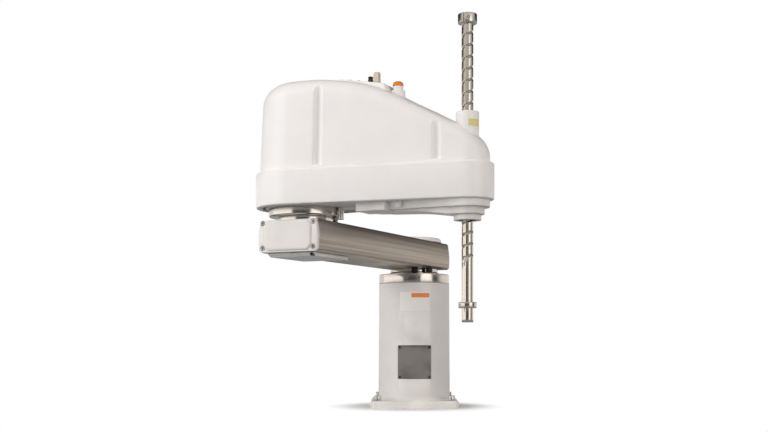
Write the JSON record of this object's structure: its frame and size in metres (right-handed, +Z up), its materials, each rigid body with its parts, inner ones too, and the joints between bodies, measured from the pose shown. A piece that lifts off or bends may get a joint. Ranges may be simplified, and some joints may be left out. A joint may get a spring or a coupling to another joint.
{
  "type": "scara robot arm",
  "caption": "Floor-mounted SCARA robot: round column, box-beam first arm, covered second arm, and a hollow ball-screw-spline shaft that lifts and turns.",
  "frame": {"origin": "centre of the underside of the mounting foot, on the joint 1 axis", "axes": "+Z up along the joint 1 axis; -Y is the front of the base, the side of the access panel; +X to the right seen from the front"},
  "size_m": [0.532, 0.8908, 0.8866],
  "materials": {
    "white_casting": "white powder-coated casting, satin",
    "white_cover": "white moulded plastic, satin",
    "brushed_beam": "bare drawn aluminium, brushed along its length",
    "machined_aluminium": "machined",
    "polished_steel": "ground and polished",
    "bright_fasteners": "bright zinc",
    "dark_steel": "black oxide",
    "grey_panel": "grey painted sheet, satin",
    "motor_black": "black anodised motor housings",
    "black_plastic": "moulded",
    "beige_plastic": "moulded",
    "black_rubber": "matte",
    "amber_lens": "glossy translucent"
  },
  "bodies": {
    "base": {"base_casting": "white_casting", "access_panel": "grey_panel", "foot_bolt_1": "dark_steel", "foot_bolt_2": "dark_steel", "foot_bolt_3": "dark_steel", "foot_bolt_4": "dark_steel", "rear_connector_plate": "machined_aluminium", "power_connector": "black_plastic", "signal_connector": "black_plastic", "j1_bearing_ring": "polished_steel", "j1_reducer": "dark_steel", "j1_motor_plate": "machined_aluminium", "j1_motor": "motor_black", "j1_stop_block": "dark_steel"},
    "arm_1": {"j1_output_hub": "polished_steel", "j1_stop_bolt_1": "black_rubber", "j1_stop_bolt_2": "black_rubber", "arm_1_beam": "brushed_beam", "arm_1_front_cap": "white_casting", "front_cap_screw_1": "bright_fasteners", "front_cap_screw_2": "bright_fasteners", "front_cap_screw_3": "bright_fasteners", "front_cap_screw_4": "bright_fasteners", "arm_1_rear_cap": "white_casting", "arm_1_under_cover": "white_casting", "j1_top_cap": "white_cover", "j2_fixed_hub": "polished_steel", "j2_stop_post_1": "bright_fasteners", "j2_stop_post_2": "bright_fasteners"},
    "arm_2": {"j2_rim": "polished_steel", "j2_stop_pin": "bright_fasteners", "arm_2_frame": "white_casting", "arm_2_skirt": "white_cover", "arm_2_top_cover": "white_cover", "shaft_sleeve": "white_cover", "roof_plate": "white_cover", "lamp_base": "white_cover", "lamp_lens": "amber_lens", "user_connector": "beige_plastic", "air_fitting": "black_plastic", "drive_deck": "machined_aluminium", "z_motor": "motor_black", "u_motor": "motor_black", "z_belt": "black_rubber", "u_belt": "black_rubber", "j2_reducer": "dark_steel", "j2_motor": "motor_black", "screw_nut_bearing": "polished_steel", "spline_nut_bearing": "polished_steel", "nut_guard": "white_casting", "shaft_wiper": "black_rubber"},
    "spline_unit": {"spline_nut": "polished_steel", "spline_pulley": "machined_aluminium"},
    "shaft_unit": {"shaft": "polished_steel", "lower_stop_collar": "polished_steel", "upper_stop_collar": "polished_steel"},
    "screw_nut_unit": {"screw_nut": "polished_steel", "screw_nut_pulley": "machined_aluminium"},
    "z_motor_rotor": {"z_motor_pulley": "machined_aluminium"},
    "u_motor_rotor": {"u_motor_pulley": "machined_aluminium"}
  },
  "joints": [
    {"name": "joint_1", "type": "hinge", "parent": "base", "child": "arm_1", "pos_m": [0, 0, 0.375], "axis": [0, 0, 1], "range_deg": [-126.6, 177.2]},
    {"name": "joint_2", "type": "hinge", "parent": "arm_1", "child": "arm_2", "pos_m": [-0.2566, -0.54236, 0.467], "axis": [0, 0, 1], "range_deg": [-242.5, 62.5]},
    {"name": "joint_4_turn", "type": "hinge", "parent": "arm_2", "child": "spline_unit", "pos_m": [0.10497, -0.71343, 0.5], "axis": [0, 0, 1], "range_deg": [-360, 360]},
    {"name": "joint_3_lift", "type": "slide", "parent": "spline_unit", "child": "shaft_unit", "axis": [0, 0, 1], "range_m": [-0.185, 0.17]},
    {"name": "screw_nut_spin", "type": "hinge", "parent": "arm_2", "child": "screw_nut_unit", "pos_m": [0.10497, -0.71343, 0.57], "axis": [0, 0, 1], "range_deg": [-2460, 2680]},
    {"name": "z_rotor_spin", "type": "hinge", "parent": "arm_2", "child": "z_motor_rotor", "pos_m": [-0.09842, -0.6172, 0.56], "axis": [0, 0, 1], "range_deg": [-4300, 4690]},
    {"name": "u_rotor_spin", "type": "hinge", "parent": "arm_2", "child": "u_motor_rotor", "pos_m": [0.00102, -0.66425, 0.55], "axis": [0, 0, 1], "range_deg": [-910, 910]}
  ],
  "couplings": [
    {"joint": "screw_nut_spin", "follows": "joint_3_lift", "rad_per_m": -251.33},
    {"joint": "z_rotor_spin", "follows": "joint_3_lift", "rad_per_m": -439.82},
    {"joint": "u_rotor_spin", "follows": "joint_4_turn", "ratio": 2.5}
  ]
}
